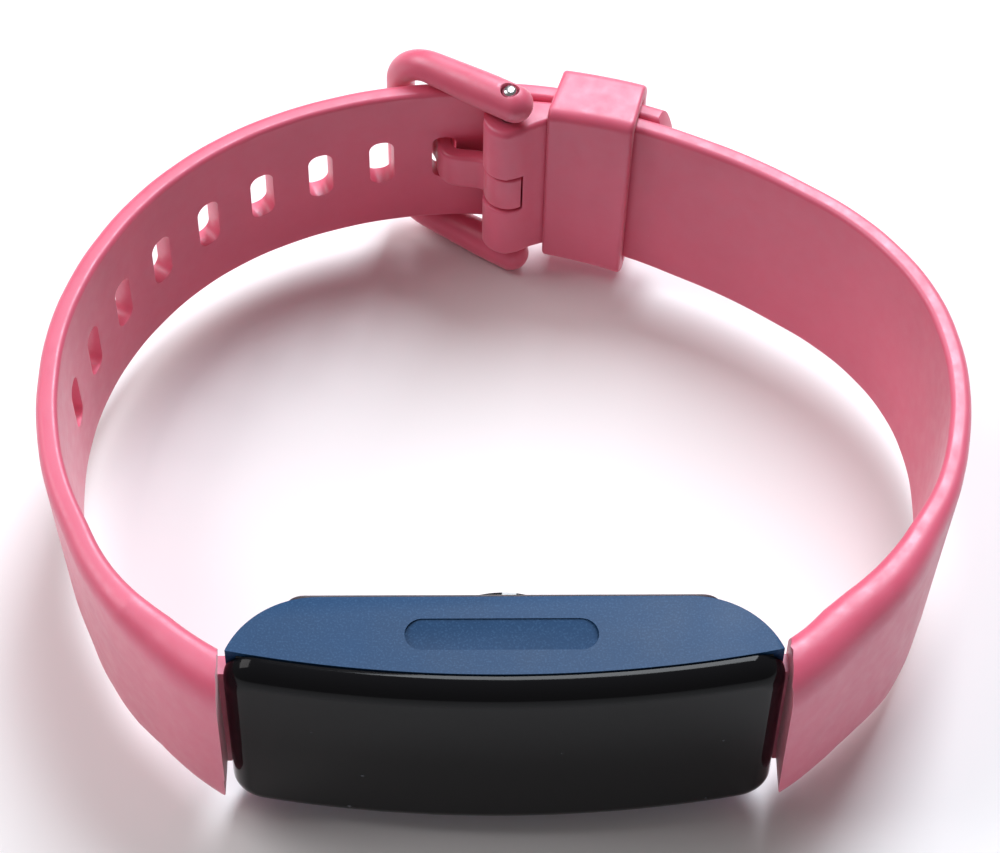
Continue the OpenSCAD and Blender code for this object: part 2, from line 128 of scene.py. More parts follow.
def addBox(name, x0, x1, y0, y1, z0, z1):
    deselectAll()
    centre = ((x0 + x1) / 2 * mm, (y0 + y1) / 2 * mm, (z0 + z1) / 2 * mm)
    bpy.ops.mesh.primitive_cube_add(size=1, location=centre)
    box = bpy.context.active_object
    box.name = name
    box.scale = ((x1 - x0) * mm, (y1 - y0) * mm, (z1 - z0) * mm)
    bpy.ops.object.transform_apply(location=True, rotation=True, scale=True)
    return box


def addRod(name, x, y, z0, z1, radius, sides=48):
    deselectAll()
    bpy.ops.mesh.primitive_cylinder_add(vertices=sides, radius=radius * mm, depth=(z1 - z0) * mm,
                                        location=Vector((x, y, (z0 + z1) / 2)) * mm)
    rod = bpy.context.active_object
    rod.name = name
    bpy.ops.object.transform_apply(location=True, rotation=True, scale=True)
    return rod


def roundEdges(piece, test, radius, segments):
    editing(piece)
    if pick("EDGE", test):
        bpy.ops.mesh.bevel(offset=radius * mm, offset_type="OFFSET", segments=segments,
                           affect="EDGES", clamp_overlap=True)
    bpy.ops.object.mode_set(mode="OBJECT")


def combine(piece, tool, how):
    makeActive(piece)
    bpy.ops.object.modifier_add(type="BOOLEAN")
    cut = piece.modifiers[-1]
    cut.operation, cut.object, cut.solver = how, tool, "EXACT"
    bpy.ops.object.modifier_apply(modifier=cut.name)
    bpy.data.objects.remove(tool)


# one cross-section of a strap blank: a rounded rectangle across the strap, left as a bare ring
def addRing(x, low, thick, half, roundOut, roundIn, corner=8, wide=14):
    top = (low + thick / 2) * mm
    bpy.ops.mesh.primitive_plane_add(size=1, location=(x * mm, top, 0),
                                     rotation=(0, math.pi / 2, 0))
    mesh = bpy.context.edit_object.data
    work = bmesh.from_edit_mesh(mesh)
    for v in [v for v in work.verts if v.select]:  # y is the thickness, z the width
        v.co.y = (low + (thick if v.co.y > top else 0)) * mm
        v.co.z = math.copysign(half * mm, v.co.z)
    bmesh.update_edit_mesh(mesh)
    near = lambda v: abs(v.co.x - x * mm) < sameSpot
    pick("VERT", lambda v: near(v) and v.co.y > top)
    bpy.ops.mesh.bevel(offset=roundOut * mm, offset_type="OFFSET", segments=corner,
                       affect="VERTICES")
    pick("VERT", lambda v: near(v) and v.co.y < top - (thick / 2 - 1e-4) * mm)
    bpy.ops.mesh.bevel(offset=roundIn * mm, offset_type="OFFSET", segments=corner,
                       affect="VERTICES")
    pick("FACE", lambda f: all(near(v) for v in f.verts))
    bpy.ops.mesh.delete(type="ONLY_FACE")
    longest = (half - max(roundOut, roundIn)) * mm
    pick("EDGE", lambda e: near(e.verts[0]) and near(e.verts[1]) and runs(e, 2, longest))
    bpy.ops.mesh.subdivide(number_cuts=wide)


def loft(name, rings, corner=8, wide=14):
    piece = newPiece(name)
    editing(piece)
    for ring in rings:
        addRing(*ring, corner=corner, wide=wide)
    bpy.ops.mesh.select_mode(type="EDGE")
    bpy.ops.mesh.select_all(action="SELECT")
    bpy.ops.mesh.bridge_edge_loops()
    for end in (min(r[0] for r in rings), max(r[0] for r in rings)):
        pick("EDGE", lambda e: all(abs(v.co.x - end * mm) < sameSpot for v in e.verts))
        bpy.ops.mesh.edge_face_add()
    bpy.ops.mesh.select_all(action="SELECT")
    bpy.ops.mesh.normals_make_consistent(inside=False)
    bpy.ops.object.mode_set(mode="OBJECT")
    return piece


# cuts even slices across a blank, so that it bends smoothly
def sliceAlong(piece, start, stop, step):
    editing(piece)
    count = int((stop - start) / step)
    for i in range(1, count + 1):
        bpy.ops.mesh.select_all(action="SELECT")
        bpy.ops.mesh.bisect(plane_co=((start + i * step) * mm, 0, 0), plane_no=(1, 0, 0))
    bpy.ops.object.mode_set(mode="OBJECT")


# smoothly reads (shift, tilt) between the rows (position, shift, tilt) of a table
def between(table, at):
    if at <= table[0][0]:
        return table[0][1:]
    for (s0, *low), (s1, *high) in zip(table, table[1:]):
        if at <= s1:
            t = (at - s0) / (s1 - s0)
            t = t * t * (3 - 2 * t)
            return [a + (b - a) * t for a, b in zip(low, high)]
    return table[-1][1:]


# a Bezier curve through (x, y, tilt in degrees) knots, with automatic handles
def smoothPath(name, knots):
    curve = bpy.data.curves.new(name, "CURVE")
    curve.dimensions, curve.resolution_u, curve.twist_mode = "3D", 24, "Z_UP"
    spline = curve.splines.new("BEZIER")
    spline.bezier_points.add(len(knots) - 1)
    for knot, (x, y, tilt) in zip(spline.bezier_points, knots):
        knot.co, knot.tilt = (x * mm, y * mm, 0), -math.radians(tilt)
        knot.handle_left_type = knot.handle_right_type = "AUTO"
    path = bpy.data.objects.new(name, curve)
    bpy.context.scene.collection.objects.link(path)
    bpy.context.view_layer.update()
    return path


# a path through arcs (centre, radius, from, to) walked clockwise, shifted and tilted by lean
def pathFrom(arcs, lean=((0, 0, 0),), step=4.0):
    knots, gone = [], 0.0
    for centre, radius, a0, a1 in arcs:
        run = math.radians(a0 - a1) * radius
        count = max(2, round(run / step))
        for i in range(0 if not knots else 1, count + 1):
            shift, tilt = between(lean, gone + run * i / count)
            knots.append((*onCircle(centre, radius + shift, a0 - (a0 - a1) * i / count), tilt))
        gone += run
    return smoothPath("bendPath", knots)


# bends a flat blank along a path; with its flat length given, the blank's far end keeps its place
def bendAlong(piece, path, length=None):
    if length:
        piece.location.x = path.data.splines[0].calc_length() - length * mm
        makeActive(piece)
        bpy.ops.object.transform_apply(location=True, rotation=True, scale=True)
    makeActive(piece)
    bpy.ops.object.modifier_add(type="CURVE")
    piece.modifiers[-1].object = path
    piece.modifiers[-1].deform_axis = "POS_X"
    bpy.ops.object.modifier_apply(modifier=piece.modifiers[-1].name)
    bpy.data.objects.remove(path)


# moves a finished piece from the plan to its place on the floor, and parents it to its body's empty
def settle(piece, body, slotName, material, *nodes, angle=35):
    editing(piece)
    bpy.ops.mesh.select_mode(type="VERT")
    bpy.ops.mesh.select_all(action="SELECT")
    bpy.ops.mesh.remove_doubles(threshold=1e-6)
    bpy.ops.mesh.normals_make_consistent(inside=False)
    bpy.ops.object.mode_set(mode="OBJECT")
    piece.location = planZero
    bpy.ops.object.transform_apply(location=True, rotation=True, scale=True)
    bpy.ops.object.shade_smooth_by_angle(angle=math.radians(angle))
    piece.data.materials.clear()
    piece.data.materials.append(material)
    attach(piece, body)
    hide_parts(*nodes)
    print("made", piece.name, len(piece.data.polygons), "faces")


def addNode(tree, kind, **inputs):
    node = tree.nodes.new(kind)
    for key, value in inputs.items():
        node.inputs[key.replace("_", " ")].default_value = value
    return node


def startMaterial(name, colour, roughness, **sockets):
    material = bpy.data.materials.new(name)
    material.use_nodes = True
    tree = material.node_tree
    shader = tree.nodes["Principled BSDF"]
    shader.inputs["Base Color"].default_value = (*colour, 1)
    shader.inputs["Roughness"].default_value = roughness
    for key, value in sockets.items():
        shader.inputs[key.replace("_", " ")].default_value = value
    place = tree.nodes.new("ShaderNodeTexCoord")
    return material, tree, shader, place.outputs["Object"]


def noise(tree, place, scale, detail=3.0, stretch=None):
    node = addNode(tree, "ShaderNodeTexNoise", Scale=scale, Detail=detail, Roughness=0.55)
    if stretch:
        mapping = addNode(tree, "ShaderNodeMapping", Scale=stretch)
        tree.links.new(place, mapping.inputs["Vector"])
        place = mapping.outputs["Vector"]
    tree.links.new(place, node.inputs["Vector"])
    return node.outputs["Fac"]


def band(tree, value, low, high, first, last):
    node = tree.nodes.new("ShaderNodeMapRange")
    tree.links.new(value, node.inputs["Value"])
    for key, number in (("From Min", low), ("From Max", high), ("To Min", first), ("To Max", last)):
        node.inputs[key].default_value = number
    return node.outputs["Result"]


def blendColours(tree, value, first, last):
    node = tree.nodes.new("ShaderNodeMix")
    node.data_type = "RGBA"
    tree.links.new(value, node.inputs["Factor"])
    for socket, colour in (("A_Color", first), ("B_Color", last)):
        target = next(i for i in node.inputs if i.identifier == socket)
        if isinstance(colour, tuple):
            target.default_value = (*colour, 1)
        else:
            tree.links.new(colour, target)
    return next(o for o in node.outputs if o.identifier == "Result_Color")


# layers are (height output, strength, distance in mm), the first nearest the surface
def addBump(tree, shader, layers):
    normal = None
    for height, strength, distance in layers:
        node = addNode(tree, "ShaderNodeBump", Strength=strength, Distance=distance * mm)
        tree.links.new(height, node.inputs["Height"])
        if normal:
            tree.links.new(normal, node.inputs["Normal"])
        normal = node.outputs["Normal"]
    tree.links.new(normal, shader.inputs["Normal"])


# a surface with cloudy colour, uneven gloss and a fine grain
def plainGrain(name, colour, roughness, shade=0.12, grain=2600, coarse=140, bump=0.15, depth=0.01,
               **sockets):
    material, tree, shader, place = startMaterial(name, colour, roughness, **sockets)
    cloud = noise(tree, place, coarse, 4)
    fine = noise(tree, place, grain, 2)
    dark = tuple(c * (1 - shade) for c in colour)
    light = tuple(min(1, c * (1 + shade)) for c in colour)
    colours = blendColours(tree, band(tree, cloud, 0.3, 0.7, 0, 1), dark, light)
    gloss = band(tree, cloud, 0.3, 0.7, roughness * 0.88, min(1, roughness * 1.12))
    tree.links.new(colours, shader.inputs["Base Color"])
    tree.links.new(gloss, shader.inputs["Roughness"])
    addBump(tree, shader, [(fine, bump, depth)])
    return material


silicone = {"colour": (0.72, 0.10, 0.185), "roughness": 0.46, "glossTint": (0.7, 0.92, 1.0),
            "lint": (0.85, 0.62, 0.66)}
buckleColour = {"colour": (0.71, 0.10, 0.18), "roughness": 0.42}


def makeSilicone(name, colour, roughness):
    material, tree, shader, place = startMaterial(
        name, colour, roughness, Subsurface_Weight=0.12, Subsurface_Scale=0.001,
        Specular_IOR_Level=1.0, Sheen_Weight=0.25, Sheen_Roughness=0.45)
    shader.inputs["Subsurface Radius"].default_value = (1.6, 0.5, 0.4)
    shader.inputs["Specular Tint"].default_value = (*silicone["glossTint"], 1)
    cloud = noise(tree, place, 90, 4)
    fine = noise(tree, place, 5200, 2)
    mid = noise(tree, place, 900, 3)
    dark = tuple(c * 0.93 for c in colour)
    light = tuple(min(1, c * 1.05) for c in colour)
    body = blendColours(tree, band(tree, cloud, 0.3, 0.7, 0, 1), dark, light)
    lint = noise(tree, place, 1500, 1)
    dusty = blendColours(tree, band(tree, lint, 0.86, 0.9, 0, 0.3), body, silicone["lint"])
    tree.links.new(dusty, shader.inputs["Base Color"])
    gloss = band(tree, mid, 0.3, 0.7, roughness - 0.07, roughness + 0.08)
    tree.links.new(gloss, shader.inputs["Roughness"])
    addBump(tree, shader, [(fine, 0.25, 0.012), (mid, 0.12, 0.02)])
    return material


def makeCaseCoatPaintedSkyBlue():
    # painted reflection: the navy base colour, its cloudy tones and its flakes stand in for bluish
    # sky light reflected by the black satin housing
    coatWithPaintedReflection = {"colour": (0.022, 0.06, 0.14), "low": (0.010, 0.046, 0.120),
            "high": (0.013, 0.056, 0.145), "spark": (0.03, 0.09, 0.20)}
    material, tree, shader, place = startMaterial("caseCoatPaintedReflection", coatWithPaintedReflection["colour"], 0.42,
                                                  Specular_IOR_Level=0.16)
    flake = noise(tree, place, 7000, 1)
    cloud = noise(tree, place, 160, 4)
    base = blendColours(tree, band(tree, cloud, 0.3, 0.7, 0, 1), coatWithPaintedReflection["low"], coatWithPaintedReflection["high"])
    spark = blendColours(tree, band(tree, flake, 0.5, 0.72, 0, 0.7), base, coatWithPaintedReflection["spark"])
    tree.links.new(spark, shader.inputs["Base Color"])
    tree.links.new(band(tree, cloud, 0.3, 0.7, 0.38, 0.46), shader.inputs["Roughness"])
    addBump(tree, shader, [(flake, 0.3, 0.006)])
    return material


def makeLensGloss():
    gloss = {"black": (0.006, 0.006, 0.007), "dust": (0.22, 0.24, 0.28)}
    material, tree, shader, place = startMaterial("lensGloss", gloss["black"], 0.05,
                                                  Specular_IOR_Level=0.13)
    speck = noise(tree, place, 1400, 0)
    streak = noise(tree, place, 260, 2, stretch=(1, 1, 26))
    smear = noise(tree, place, 60, 3)
    specks = band(tree, speck, 0.87, 0.9, 0, 0.35)
    dust = blendColours(tree, specks, gloss["black"], gloss["dust"])
    tree.links.new(dust, shader.inputs["Base Color"])
    tree.links.new(band(tree, smear, 0.35, 0.75, 0.04, 0.13), shader.inputs["Roughness"])
    addBump(tree, shader, [(streak, 0.02, 0.01)])
    return material


def makeMetal(name, colour, roughness, stretch=(1, 1, 30)):
    material, tree, shader, place = startMaterial(name, colour, roughness, Metallic=1.0)
    brush = noise(tree, place, 900, 3, stretch=stretch)
    dark = tuple(c * 0.82 for c in colour)
    colours = blendColours(tree, band(tree, brush, 0.3, 0.7, 0, 1), dark, colour)
    gloss = band(tree, brush, 0.3, 0.7, roughness * 0.8, roughness * 1.25)
    tree.links.new(colours, shader.inputs["Base Color"])
    tree.links.new(gloss, shader.inputs["Roughness"])
    addBump(tree, shader, [(brush, 0.1, 0.004)])
    return material


def makeBoard():
    material, tree, shader, place = startMaterial("boardMask", (0.02, 0.13, 0.07), 0.35,
                                                  Coat_Weight=0.3)
    cells = addNode(tree, "ShaderNodeTexBrick", Scale=520.0, Mortar_Size=0.06)
    cells.inputs["Color1"].default_value = (0.018, 0.12, 0.06, 1)
    cells.inputs["Color2"].default_value = (0.022, 0.14, 0.075, 1)
    cells.inputs["Mortar"].default_value = (0.03, 0.20, 0.11, 1)
    tree.links.new(place, cells.inputs["Vector"])
    tree.links.new(cells.outputs["Color"], shader.inputs["Base Color"])
    addBump(tree, shader, [(noise(tree, place, 3000, 2), 0.1, 0.01)])
    return material


finishes = {
    "strap_silicone": makeSilicone("strapSilicone", silicone["colour"], silicone["roughness"]),
    "buckle_plastic": makeSilicone("bucklePlastic", buckleColour["colour"],
                                   buckleColour["roughness"]),
    "case_coat": makeCaseCoatPaintedSkyBlue(),
    "lens_black": makeLensGloss(),
    "seal_black": plainGrain("sealBlack", (0.012, 0.012, 0.014), 0.7),
    "panel_black": plainGrain("panelBlack", (0.008, 0.008, 0.011), 0.12, grain=900,
                              bump=0.03),
    "frame_plastic": plainGrain("framePlastic", (0.05, 0.05, 0.055), 0.55),
    "board_green": makeBoard(),
    "chip_black": plainGrain("chipBlack", (0.02, 0.02, 0.024), 0.5),
    "gold_contact": makeMetal("goldContact", (0.86, 0.62, 0.26), 0.25, stretch=(1, 20, 1)),
    "battery_foil": plainGrain("batteryFoil", (0.55, 0.56, 0.58), 0.32, coarse=420, bump=0.3,
                               depth=0.03, Metallic=0.85),
    "steel_parts": makeMetal("steelParts", (0.68, 0.68, 0.70), 0.22),
    "weight_metal": makeMetal("weightMetal", (0.28, 0.28, 0.30), 0.45, stretch=(1, 1, 1)),
    "cover_black": plainGrain("coverBlack", (0.016, 0.017, 0.020), 0.38),
    "window_dark": plainGrain("windowDark", (0.012, 0.014, 0.016), 0.07, grain=700, bump=0.02,
                              Coat_Weight=0.5),
    "led_clear": plainGrain("ledClear", (0.30, 0.62, 0.36), 0.15, Coat_Weight=0.4),
}


# rings of a strap's thick end; place turns a distance from the tracker into one along the blank
def shoulderRings(rows, place):
    return [(place(s), shift, thick, half, roundOut, roundIn)
            for s, thick, half, roundOut, roundIn, shift in rows]


# distance from the tracker, thickness, half width, outer and inner rounding, inward face shift
leftShoulder = [
    (-4.0, 3.7, 7.7, 2.4, 1.1, 0.35), (0.0, 3.2, 7.7, 2.2, 1.0, 0.15),
    (2.5, 2.85, 7.75, 1.9, 0.9, 0.0), (5.0, 2.4, 7.9, 1.4, 0.8, 0.15),
    (8.0, 2.0, 7.75, 1.15, 0.65, 0.15), (11.5, 1.78, 7.6, 0.95, 0.5, 0.1),
    (15.0, 1.66, 7.42, 0.8, 0.42, 0.05), (19.0, 1.56, 7.22, 0.65, 0.4, 0.0),
    (25.0, 1.5, 7.0, 0.6, 0.4, 0.0)]
rightShoulder = [
    (-4.0, 3.9, 7.7, 2.6, 1.1, 0.1), (0.0, 3.5, 7.7, 2.4, 1.1, -0.2),
    (2.0, 3.4, 7.75, 2.2, 1.0, -0.45), (4.0, 3.2, 7.8, 2.0, 0.9, -0.4),
    (7.0, 2.8, 7.88, 1.6, 0.8, -0.1), (10.0, 2.35, 7.75, 1.3, 0.65, 0.0),
    (13.0, 1.95, 7.62, 1.0, 0.5, 0.0), (17.0, 1.65, 7.45, 0.75, 0.42, 0.0),
    (22.0, 1.52, 7.3, 0.62, 0.4, 0.0)]
beyondEnd = 4  # each blank runs this far past the tracker's end and is trimmed there
# along each strap: distance, outward shift, tilt in degrees
tongueLean = [(0, 0.7, 1.0), (4, 0.75, 1.5), (8, 0.75, 2.4), (12, 0.7, 2.8), (18, 0.25, 2.8),
              (30, 0.0, 2.2), (42, -0.05, 0.8), (52, 0.0, 0.0), (70, 0.0, 0.0), (77.3, 0.05, 1.2),
              (81.8, 0.15, 2.6), (87, 0.3, 4.0)]
buckleLean = [(0, 0.0, 0.0), (4.8, 0.04, 1.2), (8.2, 0.13, 2.6), (11.4, 0.28, 3.8),
              (15.7, 0.5, 4.6), (22, 1.0, 5.0), (28, 1.05, 5.0), (34, 0.85, 4.6), (43.6, 0.5, 3.8),
              (50, 0.35, 3.0), (57, 0.0, 1.0), (62, -0.1, 0.0), (72, -0.1, 0.0)]


def makeTongueStrap():
    shape = {"pitch": 4.8, "holeLength": 4.5, "holeWidth": 1.9, "holeRound": 0.82, "lip": 0.16,
             "free": 8, "covered": 2, "startAngle": 246.1, "tipAngle": 62.5, "tipRound": 6.4,
             "tipEdge": 0.3, "slice": 0.55}
    leftRun = math.radians(shape["startAngle"] - loop["leftAngle"]) * loop["leftRadius"]
    backRun = math.radians(loop["leftAngle"] - shape["tipAngle"]) * loop["tongueRadius"]
    total = leftRun + backRun
    rings = shoulderRings(leftShoulder, lambda s: s + beyondEnd)
    rings.append((total, 0.0, loop["thick"], loop["halfWidth"], 0.65, 0.4))
    strap = loft("tongueStrap", rings)
    # round the tip in the strap's plane
    keep = addBox("tipKeep", -10, total, -6, 8, -10, 10)
    roundEdges(keep, lambda e: runs(e, 1) and middle(e).x > (total - 1) * mm, shape["tipRound"], 16)
    combine(strap, keep, "INTERSECT")
    atTip = lambda e: e.calc_face_angle(0) > 0.8 and middle(e).x > (total - 7) * mm
    roundEdges(strap, atTip, shape["tipEdge"], 3)
    tangAt = leftRun + math.radians(loop["leftAngle"] - loop["tangAngle"]) * loop["tongueRadius"]
    halfLong, halfAcross = shape["holeLength"] / 2, shape["holeWidth"] / 2
    for k in range(-shape["covered"], shape["free"] + 1):
        at = tangAt - k * shape["pitch"]
        hole = addBox("hole", at - halfAcross, at + halfAcross, -3, 6, -halfLong, halfLong)
        roundEdges(hole, lambda e: runs(e, 1), shape["holeRound"], 8)
        combine(strap, hole, "DIFFERENCE")
    inHole = lambda e: (e.calc_face_angle(0) > 1.2 and abs(middle(e).z) < 2.4 * mm
                        and middle(e).x < (total - 3) * mm and middle(e).x > 30 * mm)
    roundEdges(strap, inHole, shape["lip"], 3)
    sliceAlong(strap, 0, total, shape["slice"])
    arcs = [(leftCentre, loop["leftRadius"], shape["startAngle"], loop["leftAngle"]),
            (loop["backCentre"], loop["tongueRadius"], loop["leftAngle"], shape["tipAngle"])]
    bendAlong(strap, pathFrom(arcs, tongueLean), total)
    return strap


hubLead = math.degrees(loop["hubRadius"] / loop["innerRadius"])
buckleArcs = [(loop["backCentre"], loop["innerRadius"], loop["pivotAngle"] + hubLead,
               loop["keeperAngle"]),
              (sideCentre, loop["sideRadius"], loop["keeperAngle"], loop["turnAngle"]),
              (turnCentre, loop["turnRadius"], loop["turnAngle"], 0.0),
              (rightCentre, loop["rightRadius"], 0.0, loop["endAngle"])]


def makeBuckleStrap():
    shape = {"slotHalf": 1.83, "slotReach": 1.25, "hubHalf": 6.9, "edge": 0.5, "slotEdge": 0.14,
             "bore": 0.64, "slice": 0.55}
    r = loop["hubRadius"]
    rings = []
    for turn in (14, 26, 38, 50, 62, 76, 90):
        thick = 2 * r * math.sin(math.radians(turn))
        x = r * (1 - math.cos(math.radians(turn)))
        edge = min(shape["edge"], thick * 0.35)
        rings.append((x, loop["thick"] - r - thick / 2, thick, shape["hubHalf"], edge, edge))
    # the hub thins into the strap: distance, thickness, half width
    for x, thick, half in ((2.9, 3.5, 6.92), (3.9, 2.75, 6.95), (5.0, 2.1, 6.97), (6.4, 1.66, 7.0),
                           (8.0, 1.5, 7.0)):
        rings.append((x, loop["thick"] - thick, thick, half, shape["edge"], shape["edge"]))
    total = sum(math.radians(a0 - a1) * radius for _, radius, a0, a1 in buckleArcs)
    rings += shoulderRings(rightShoulder, lambda s: total - beyondEnd - s)[::-1]
    strap = loft("buckleStrap", rings)
    slot = addBox("tangSlot", -2, r + shape["slotReach"], -5, 5, -shape["slotHalf"],
                  shape["slotHalf"])
    combine(strap, slot, "DIFFERENCE")
    inSlot = lambda e: (e.calc_face_angle(0) > 0.9 and abs(middle(e).z) < 2.2 * mm
                        and middle(e).x < (r + 1.6) * mm)
    roundEdges(strap, inSlot, shape["slotEdge"], 3)
    sliceAlong(strap, 3, total, shape["slice"])
    bendAlong(strap, pathFrom(buckleArcs, buckleLean))
    bore = addRod("pinBore", pivot[0], pivot[1], -12, 12, shape["bore"])
    combine(strap, bore, "DIFFERENCE")
    return strap


strapEnd = {"gap": 0.14, "cornerRound": 3.0, "cornerZ": -7.95, "tabX": 15.2, "tabY": 1.38,
            "tabRadius": 1.4, "tabHalf": 6.1, "neckX": (15.4, 19.3), "neckY": (0.1, 1.5),
            "neckHalf": 5.6}


# cuts a strap's thick end flat, just clear of the tracker's end
def trimAtTracker(strap, side):
    editing(strap)
    pick("FACE", lambda f: f.calc_center_median().y < 15 * mm)
    endX = side * (tracker["length"] / 2 + strapEnd["gap"]) * mm
    bpy.ops.mesh.bisect(plane_co=(endX, 0, 0), plane_no=(side, 0, 0), use_fill=True,
                        clear_inner=True)
    bpy.ops.object.mode_set(mode="OBJECT")


# rounds the lower corner of a strap's thick end
def roundCorner(strap, side):
    endX = tracker["length"] / 2 + strapEnd["gap"]
    corner = addBox("corner", *sorted((side * 15, side * 21.8)), -8, 8, -14, -4)
    core = addBox("core", *sorted((side * endX, side * 30)), -9, 9, strapEnd["cornerZ"], 0)
    roundEdges(core, lambda e: runs(e, 1) and abs(middle(e).x) < 20 * mm
               and middle(e).z < -4 * mm, strapEnd["cornerRound"], 12)
    combine(corner, core, "DIFFERENCE")
    combine(strap, corner, "DIFFERENCE")


# the tab on the spring bar, and the neck that joins it to the strap
def addTab(strap, side):
    half = strapEnd["tabHalf"]
    tab = addRod("tab", side * strapEnd["tabX"], strapEnd["tabY"], -half, half,
                 strapEnd["tabRadius"])
    neck = addBox("neck", *sorted(side * x for x in strapEnd["neckX"]), *strapEnd["neckY"],
                  -strapEnd["neckHalf"], strapEnd["neckHalf"])
    combine(tab, neck, "UNION")
    combine(strap, tab, "UNION")


print("straps")
tongueStrap = makeTongueStrap()
buckleStrap = makeBuckleStrap()
for strap, side in ((tongueStrap, -1), (buckleStrap, 1)):
    trimAtTracker(strap, side)
    roundCorner(strap, side)
    addTab(strap, side)
settle(tongueStrap, "band", "strap_silicone", finishes["strap_silicone"], "tongue_strap")
settle(buckleStrap, "band", "strap_silicone", finishes["strap_silicone"], "buckle_strap")


def makeKeeper():
    size = {"length": 6.5, "wall": 0.92, "gap": 0.16, "middle": 72.3, "farScale": 0.87,
            "roundOut": 0.95, "roundIn": 0.9, "hollowRound": 0.4, "lip": 0.28}
    low = -size["gap"] - size["wall"]
    deep = 0.1 + 2 * loop["thick"] + 2 * (size["gap"] + size["wall"])
    half = loop["halfWidth"] + size["gap"] + size["wall"]
    centre = math.radians(buckleArcs[0][2] - size["middle"]) * loop["innerRadius"]
    start = centre - size["length"] / 2
    end = start + size["length"]
    keeper = loft("keeperLoop", [(x, low, deep, half, size["roundOut"], size["roundIn"])
                                 for x in (start, end)])
    hollow = loft("hollow", [(x, low + size["wall"], deep - 2 * size["wall"], half - size["wall"],
                              size["hollowRound"], size["hollowRound"])
                             for x in (start - 2, end + 2)], corner=4, wide=6)
    combine(keeper, hollow, "DIFFERENCE")
    atEnds = lambda e: (e.calc_face_angle(0) > 1.0
                        and min(abs(middle(e).x - start * mm),
                                abs(middle(e).x - end * mm)) < 10 * sameSpot)
    roundEdges(keeper, atEnds, size["lip"], 4)
    # the bend spreads the far side; narrowing it first keeps the loop's sides parallel
    editing(keeper)
    pick("VERT", lambda v: v.co.y > (low + deep / 2) * mm)
    bpy.ops.transform.resize(value=(size["farScale"], 1, 1),
                             center_override=((start + end) / 2 * mm, 0, 0))
    bpy.ops.object.mode_set(mode="OBJECT")
    sliceAlong(keeper, start, end, 0.5)
    bendAlong(keeper, pathFrom(buckleArcs, buckleLean))
    return keeper


print("keeper")
settle(makeKeeper(), "keeper", "strap_silicone", finishes["strap_silicone"], "keeper_loop")


farRod = (-7.1, 52.45)  # the frame's cross bar


def makeBuckleFrame():
    size = {"pivotRadius": 1.41, "armRadius": 1.22, "barRadius": 1.08, "armZ": 8.55,
            "kneeSpot": (-4.88, 51.2), "corner": 2.5, "hole": 0.72, "holeEdge": 0.1,
            "beyond": 0.42, "notchHalf": 1.95, "notchLift": 0.06}
    knee = Vector((*size["kneeSpot"], size["armZ"] - 0.2))
    start, end = Vector((*pivot, size["armZ"])), Vector((*farRod, size["armZ"] - 0.4))
    along = (knee - start).normalized()
    start -= along * size["beyond"]
    points = []
    for turn in range(0, 91, 10):  # the round end behind the pin
        a, reach = math.radians(turn), size["pivotRadius"]
        points.append((start - along * reach * math.cos(a), reach * math.sin(a)))
    for t in (0.2, 0.35, 0.5, 0.65, 0.8, 1.0):  # the arm, thinner past its first third
        thinner = (size["pivotRadius"] - size["armRadius"]) * max(0, t - 0.35) / 0.65
        points.append((start.lerp(knee, t), size["pivotRadius"] - thinner))
    c = size["corner"]
    toBar = end - knee
    for i in range(1, 11):  # the corner turns down into the cross bar
        a = math.radians(9 * i)
        spot = knee + toBar * math.sin(a) + Vector((0, 0, -c * (1 - math.cos(a))))
        points.append((spot, size["armRadius"] + (size["barRadius"] - size["armRadius"]) * i / 10))
    points += [(Vector((*farRod, z)), size["barRadius"]) for z in (4.0, 2.0)]
    points += [(Vector((p.x, p.y, -p.z)), r) for p, r in points[::-1]]
    curve = bpy.data.curves.new("buckleFrame", "CURVE")
    curve.dimensions, curve.bevel_depth, curve.bevel_resolution = "3D", 1.0 * mm, 14
    curve.twist_mode = "MINIMUM"
    curve.use_fill_caps = True
    spline = curve.splines.new("POLY")
    spline.points.add(len(points) - 1)
    for knot, (spot, radius) in zip(spline.points, points):
        knot.co, knot.radius = (*(spot * mm), 1), max(radius, 0.02)
    rod = bpy.data.objects.new("buckleFrame", curve)
    bpy.context.scene.collection.objects.link(rod)
    makeActive(rod)
    bpy.ops.object.convert(target="MESH")
    rod = bpy.context.active_object
    editing(rod)
    bpy.ops.mesh.select_all(action="SELECT")
    bpy.ops.mesh.remove_doubles(threshold=2e-6)
    bpy.ops.mesh.normals_make_consistent(inside=False)
    bpy.ops.object.mode_set(mode="OBJECT")
    bpy.ops.object.modifier_add(type="SUBSURF")
    rod.modifiers[-1].levels = rod.modifiers[-1].render_levels = 1
    bpy.ops.object.modifier_apply(modifier=rod.modifiers[-1].name)
    for side in (-1, 1):
        pinHole = addRod("pinHole", *pivot, *sorted((side * 6.0, side * 12.0)), size["hole"])
        combine(rod, pinHole, "DIFFERENCE")
    atHole = lambda e: (e.calc_face_angle(0) > 0.8
                        and (Vector(middle(e)[:2]) - Vector(pivot) * mm).length < 0.8 * mm)
    roundEdges(rod, atHole, size["holeEdge"], 3)
    notch = addBox("notch", -10, -4, farRod[1] + size["notchLift"], 56, -size["notchHalf"],
                   size["notchHalf"])
    combine(rod, notch, "DIFFERENCE")
    return rod


def makePin():
    size = {"radius": 0.6, "half": 9.93, "dome": 0.42}
    pin = addRod("bucklePin", pivot[0], pivot[1], -size["half"], size["half"], size["radius"])
    roundEdges(pin, lambda e: e.calc_face_angle(0) > 1.0, size["dome"], 6)
    return pin


